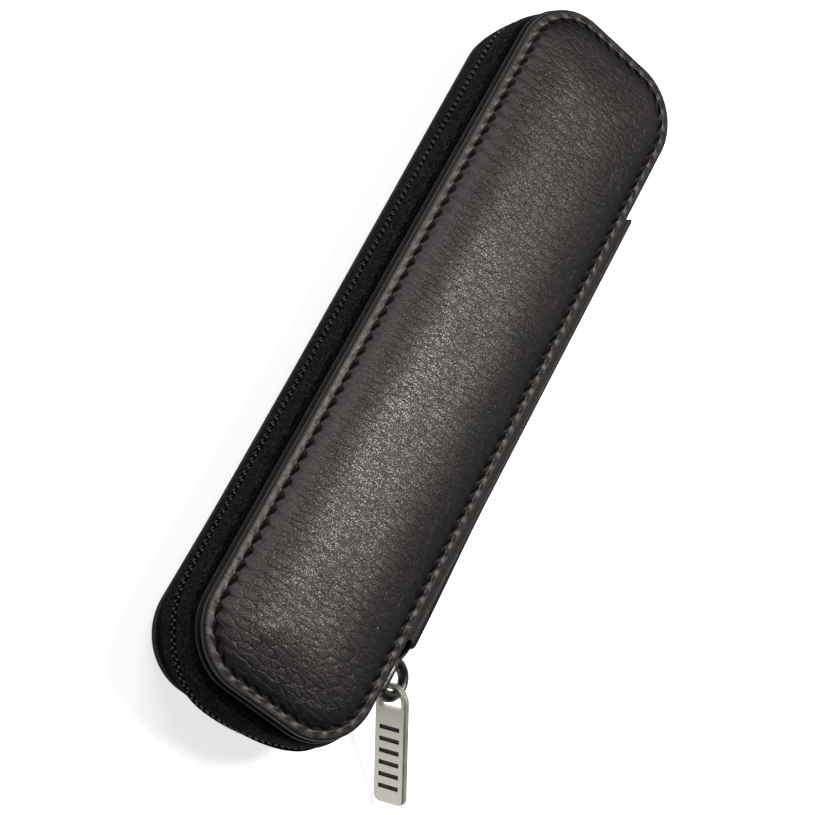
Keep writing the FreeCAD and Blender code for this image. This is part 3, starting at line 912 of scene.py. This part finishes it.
def plate(bm, low, high, corner, rim):
    """A metal plate square to X, its corners rounded and its rims softened."""
    made = bmesh.ops.create_cube(bm, size=1.0)["verts"]
    size = [end - start for start, end in zip(low, high)]
    middle = [(start + end) / 2 for start, end in zip(low, high)]
    bmesh.ops.scale(bm, vec=size, verts=made)
    bmesh.ops.translate(bm, vec=middle, verts=made)
    edges = {edge for vert in made for edge in vert.link_edges}
    across = [edge for edge in edges if abs(edge.verts[0].co.x - edge.verts[1].co.x) > CLOSE]
    bmesh.ops.bevel(bm, geom=across, offset=corner, segments=4, profile=0.5, affect="EDGES", material=-1)
    rims = [edge for edge in bm.edges if is_rim(edge, low, high)]
    bmesh.ops.bevel(bm, geom=rims, offset=rim, segments=2, profile=0.5, affect="EDGES", material=-1)


# Outer plate, nose, inner plate, its two flanges and the post: low end, high end, corner radius, softened rim
SLIDER_SHAPES = (
    ((22.15, -4.2, -3.2), (24.15, 4.2, 3.2), 1.6, 0.4),
    ((22.15, 3.0, -0.7), (24.15, 5.3, 0.7), 0.4, 0.2),
    ((18.9, -3.6, -3.2), (19.9, 3.6, 3.2), 1.6, 0.25),
    ((19.7, -3.0, 2.45), (20.65, 3.0, 3.2), 0.2, 0.1),
    ((19.7, -3.0, -3.2), (20.65, 3.0, -2.45), 0.2, 0.1),
    ((19.7, 1.4, -0.38), (22.4, 3.0, 0.38), 0.2, 0.05),
)


def zip_slider():
    bm = bmesh.new()
    for low, high, corner, rim in SLIDER_SHAPES:
        part = bmesh.new()
        plate(part, low, high, corner, rim)
        bmesh.ops.translate(part, vec=(0.0, SLIDER_Y, MIDDLE), verts=part.verts)
        add_shape(bm, part)
    add_shape(bm, bail())
    bmesh.ops.recalc_face_normals(bm, faces=bm.faces)
    slider = piece("slider_body", bm, GUNMETAL, "slider", METAL_EDGE)
    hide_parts("zip_slider")


def add_shape(bm, part):
    """Put one shape's mesh into another and let go of it."""
    mesh = bpy.data.meshes.new("part")
    part.to_mesh(mesh)
    part.free()
    bm.from_mesh(mesh)
    bpy.data.meshes.remove(mesh)


BAIL_MIDDLE, BAIL_LEG, BAIL_SUNK = 3.68, 1.35, 0.4
BAIL_HALF_THICK, BAIL_WIDENING, BAIL_HEAVY = 0.92, 1.22, 0.35


def bail():
    """Arch that the puller hangs from, heavier at its two roots, leaning with the slider's roll."""
    bm = bmesh.new()
    standing = Matrix.Rotation(math.pi / 2, 4, "X")
    ring = bmesh.ops.create_circle(bm, segments=16, radius=BAIL_HALF_THICK, matrix=standing)["verts"]
    bmesh.ops.scale(bm, vec=(1.0, 1.0, BAIL_WIDENING), verts=ring)
    bmesh.ops.translate(bm, vec=(BAIL_MIDDLE, 0.0, 0.0), verts=ring)
    bmesh.ops.rotate(bm, cent=(0, 0, 0), matrix=Matrix.Rotation(-math.pi / 2, 3, "Z"), verts=ring)
    bmesh.ops.spin(
        bm, geom=list(bm.edges), cent=(0.0, 0.0, 0.0), axis=(0.0, 0.0, 1.0), dvec=(0.0, 0.0, 0.0),
        angle=math.pi, steps=24,
    )
    for vert in bm.verts:
        radius = math.hypot(vert.co.x, vert.co.y)
        heavy = BAIL_HEAVY * (vert.co.y / radius) ** 2
        vert.co.xy *= (radius + (radius - BAIL_MIDDLE) * heavy - heavy) / radius
    for end in (-1, 1):
        rim = [edge for edge in bm.edges if edge.is_boundary and edge.verts[0].co.y * end > 0]
        low = bmesh.ops.extrude_edge_only(bm, edges=rim)["geom"]
        verts = [item for item in low if isinstance(item, bmesh.types.BMVert)]
        bmesh.ops.translate(bm, vec=(-BAIL_LEG - BAIL_SUNK, 0.0, 0.0), verts=verts)
    close_up(bm)
    place = Matrix.Translation((SLIDER_FACE, BAIL_Y, MIDDLE)) @ Matrix.Rotation(BAIL_ROLL, 4, "Y")
    bmesh.ops.transform(bm, matrix=place @ Matrix.Translation((BAIL_LEG, 0.0, 0.0)), verts=bm.verts)
    return bm


# Spine


# Half of the spine's section from its sewn flap to the middle and back, as x and level
SPINE_OUTSIDE = (
    (15.2, 6.98), (18.0, 6.98), (20.6, 7.0), (21.1, 7.18), (21.5, 7.38), (21.9, 7.5), (22.25, 7.42),
    (22.48, 7.1), (22.57, 6.5), (22.61, 5.6), (22.63, 4.5), (22.65, 3.0), (22.65, 1.5), (22.65, 0.0),
)
SPINE_INSIDE = (
    (22.0, 0.0), (22.0, 1.5), (22.0, 3.0), (22.0, 4.5), (21.98, 5.6), (21.85, 6.2), (21.5, 6.5), (20.6, 6.54),
    (18.0, 6.54), (15.2, 6.54),
)
SPINE_ENDS = (49.0, 49.3, 50.2, 51.0, 51.2, 51.45, 51.65, 51.85, 51.96, 52.0)
SPINE_STATIONS = [-y for y in reversed(SPINE_ENDS)] + [-48.0 + 2.0 * i for i in range(49)] + list(SPINE_ENDS)
SPINE_STAND, SPINE_STAND_FROM, SPINE_STAND_FULL = 0.75, -18.0, -52.0
END_INSIDE, CORNER_INSIDE, SPINE_WAVER = 20.75, 21.95, 0.05

# Tongue past the spine's lower end: stations, then x and the lowest level at its root and how far each moves
TONGUE = (-57.0, -56.0, -55.0, -54.0, -53.0, -52.3)
TONGUE_OUT, TONGUE_IN, TONGUE_LOW, TONGUE_LIFT = 22.95, 1.65, 3.6, 3.0
TONGUE_TOP, TONGUE_THICK = 7.1, 0.55


def spine_tongue(x, level, y):
    """Where a point of the spine's section lies in the tongue that runs out past its lower end."""
    share = (y + SPINE_ENDS[-1]) / (TONGUE[0] + SPINE_ENDS[-1])
    out, low = TONGUE_OUT - TONGUE_IN * share, TONGUE_LOW + TONGUE_LIFT * share
    here = min(max(x, out - TONGUE_THICK), out)
    return Vector((here, y, MIDDLE + low + (TONGUE_TOP - low) * level / SPINE_TOP))


def spine_half(side, name):
    """Half of the spine leather, which folds between the spine and one half of the case."""
    rows = []
    tongue = TONGUE if side == FRONT else ()
    for x, level in SPINE_OUTSIDE + SPINE_INSIDE + SPINE_OUTSIDE[:1]:
        row = [spine_tongue(x, level, y) for y in tongue]
        for y in SPINE_STATIONS:
            over = max(abs(y) - SPINE_STRAIGHT, 0.0)
            top = SPINE_TOP - (SPINE_CORNER - math.sqrt(max(SPINE_CORNER**2 - over**2, 0.0)))
            here = max(x, CORNER_INSIDE if over > 0.1 else END_INSIDE) if abs(y) > FLAP_END else x
            soft = noise.noise(Vector((y / 8.0, level / 4.0, 3.0))) if x > 22.5 and level > 0.1 else 0.0
            stand = SPINE_STAND * smooth_step(SPINE_STAND_FROM, SPINE_STAND_FULL, y) if x > 22.2 else 0.0
            out = here + SPINE_WAVER * soft + stand
            row.append(Vector((out, y, MIDDLE + side * level * top / SPINE_TOP)))
        rows.append(row)
    strip = piece(name, close_up(sheet_of(rows)), EDGE_LEATHER, None, SOFT_EDGE)
    if side == FRONT:
        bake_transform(strip)
        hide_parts("spine_strip", "front_spine_turn_in")
    else:
        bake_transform(strip)
        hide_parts("back_spine_turn_in")


SPINE_CLOTH_LONG, SPINE_CLOTH_WIDE, SPINE_CLOTH_X, SPINE_CLOTH_THICK = 97.6, 11.6, 21.6, 0.4


def spine_cloth():
    bm = bmesh.new()
    bm.loops.layers.uv.new("UVMap")
    bmesh.ops.create_grid(bm, x_segments=60, y_segments=8, size=0.5, calc_uvs=True)
    for vert in bm.verts:
        y, level = vert.co.x * SPINE_CLOTH_LONG, vert.co.y * SPINE_CLOTH_WIDE
        soft = 0.06 * noise.noise(Vector((y / 9.0, level / 4.0, 0.0)))
        vert.co = (SPINE_CLOTH_X + soft, y, MIDDLE + level)
    bmesh.ops.solidify(bm, geom=bm.verts[:] + bm.edges[:] + bm.faces[:], thickness=SPINE_CLOTH_THICK)
    bmesh.ops.recalc_face_normals(bm, faces=bm.faces)
    cloth = piece("spine_cloth", bm, LINING, "spine", SOFT_EDGE)
    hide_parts("spine_lining")


# Inside


LINING_INSETS = (19.8, 19.0, 17.0, 14.4, 12.0, 9.5, 7.5, 5.8, 4.4, 3.4, 2.6, 1.8, 1.1, 0.8)
LINING_EDGE, LINING_EASE = (0.76, 6.2), 2.85
LINING_COUNTS = (60, 16, 10, 16, 120, 16, 10, 16, 60)


def lining_cloth(side, name):
    rises = [(inset, crown(inset, LINING_START, LINING_SPAN)) for inset in LINING_INSETS]
    heights = [(inset, LINING_UNDER + rise) for inset, rise in rises]
    heights += [LINING_EDGE]
    heights += [(inset, LINING_FACE + rise) for inset, rise in reversed(rises)]
    rows = []
    for inset, level in heights:
        row = []
        corner = inner_corner(inset)
        eased = corner + LINING_EASE * (1.0 - smooth_step(0.75, LINING_START, inset))
        for x, y in outline(-inset, corner, eased, LINING_COUNTS):
            soft = noise.noise(Vector((x / 6.0, y / 6.0, 5.0 + side))) if inset > 2.0 and level < 8.8 else 0.0
            here = level + 0.025 * soft + settle(side, y) * (1.0 - smooth_step(1.6, 4.4, inset))
            row.append(Vector((x, y, MIDDLE + side * here)))
        rows.append(row)
    bm = close_up(sheet_of(rows))
    cloth = piece(f"{name}_lining_cloth", bm, LINING, f"{name}_half", SOFT_EDGE)
    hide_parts(f"{name}_lining")


LOOP_CENTRE, LOOP_HALF_THICK = 7.2, 0.36


def loop_line():
    """Middle of the elastic band seen from its end, with the direction its outside faces."""
    crest, reach, lift = 10.67, 6.8, 0.4
    feet = [(x, lining_floor(x) + lift, 0.0, 1.0) for x in (15.8, 15.3, 14.8)]
    feet.append((14.3, lining_floor(14.3) + 0.62, 0.5, 0.85))
    line = [(-x, z, -out_x, out_z) for x, z, out_x, out_z in feet]
    for centre in (-LOOP_CENTRE, LOOP_CENTRE):
        for side in (-1.0, 1.0):
            x = centre + side * reach
            low = lining_floor(x) + 1.0
            leg = [(x, low + (crest - low) * step / 5, side, 0.0) for step in range(5)]
            line += leg if side < 0.0 else leg[::-1]
            if side < 0.0:
                for step in range(17):
                    angle = math.pi * (1.0 - step / 16)
                    out = Vector((math.cos(angle), math.sin(angle)))
                    line.append((centre + reach * out.x, crest + reach * out.y, out.x, out.y))
        if centre < 0.0:
            line.append((0.0, lining_floor(0.0) + lift, 0.0, 1.0))
    return line + feet[::-1]


def elastic_loops():
    line = loop_line()
    stations = [LOOP_Y - LOOP_WIDE / 2 + LOOP_WIDE * i / 24 for i in range(25)]
    rows = []
    for half in (LOOP_HALF_THICK, -LOOP_HALF_THICK):
        ordered = line if half > 0 else line[::-1]
        for x, z, out_x, out_z in ordered:
            size = math.hypot(out_x, out_z)
            rows.append([Vector((x + half * out_x / size, y, z + half * out_z / size)) for y in stations])
    rows.append([point.copy() for point in rows[0]])
    band = piece("elastic_loops", close_up(sheet_of(rows)), ELASTIC, "back_half", SOFT_EDGE)
    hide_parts("pen_loops")
    length = sum(math.dist(a[:2], b[:2]) for a, b in zip(line, line[1:])) * MM


LOOP_STITCH_HALF_SIZE, LOOP_STITCH_X = (0.2, 0.85, 0.2), 15.1
LOOP_STITCHES, LOOP_STITCH_PITCH, LOOP_STITCH_LIFT = 10, 2.2, 0.8


def loop_stitches():
    places = []
    for x in (-LOOP_STITCH_X, LOOP_STITCH_X):
        for i in range(LOOP_STITCHES):
            y = LOOP_Y + LOOP_STITCH_PITCH * (i - (LOOP_STITCHES - 1) / 2)
            places.append(Matrix.Translation((x, y, lining_floor(x) + LOOP_STITCH_LIFT)))
    bm = beads(LOOP_STITCH_HALF_SIZE, Matrix.Rotation(math.pi / 2, 4, "X"), places)
    stitches = piece("elastic_stitches", bm, THREAD, "back_half")
    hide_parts("pen_loop_thread")


# All together


take_picture_from()
lay_floor()
light_studio()
for side, name in HALVES:
    leather_cover(side, name)
    seam_stitches(side, name)
    welt(side, name)
    zip_tape(side, name)
    zip_coil(side, name)
    lining_cloth(side, name)
spine_half(FRONT, "spine_upper")
spine_half(BACK, "spine_lower")
spine_cloth()
zip_slider()
elastic_loops()
loop_stitches()
KEPT_SOLIDS = {
    "zip_puller": NICKEL,
    "front_zip_stops": STEEL,
    "back_zip_stops": STEEL,
    "front_stiffener": BOARD,
    "back_stiffener": BOARD,
}
for node, material in KEPT_SOLIDS.items():
    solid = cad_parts[node]
    solid.data.materials.clear()
    solid.data.materials.append(material)
